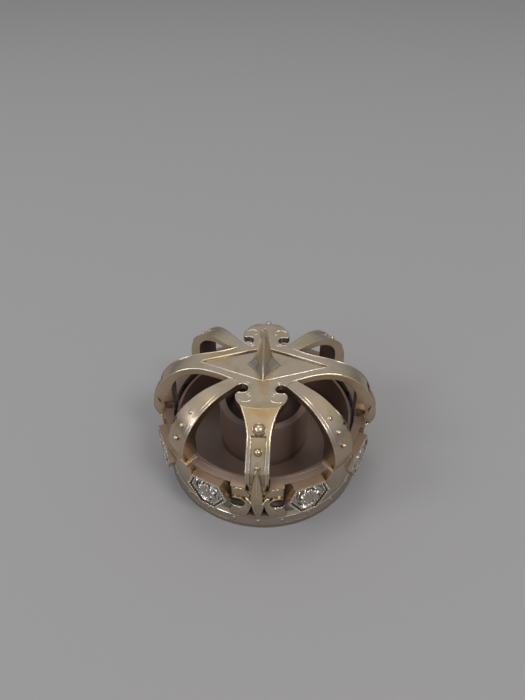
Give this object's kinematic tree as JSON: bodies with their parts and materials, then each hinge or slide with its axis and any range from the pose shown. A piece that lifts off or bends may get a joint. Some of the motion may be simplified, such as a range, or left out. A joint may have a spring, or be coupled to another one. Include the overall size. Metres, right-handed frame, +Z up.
{
  "type": "crown bottle cap",
  "caption": "Crown-shaped bottle cap: open arches rise to a spire over a pierced band, with an inner cup, a central tube and a liner for a pump collar.",
  "frame": {"origin": "middle of the ring that the cap stands on", "axes": "+Z up along the tube to the spire, -Y towards the front arch, +X to the right"},
  "size_m": [0.0496, 0.0496, 0.0355],
  "materials": {
    "champagne_gold": "satin metallised coat on moulded plastic",
    "brown_plastic": "thin metallic overspray on dark moulded plastic",
    "black_liner": "plain moulded"
  },
  "bodies": {
    "root": {"crown_shell": "champagne_gold", "base_cup": "brown_plastic", "pump_liner": "black_liner"}
  },
  "joints": []
}
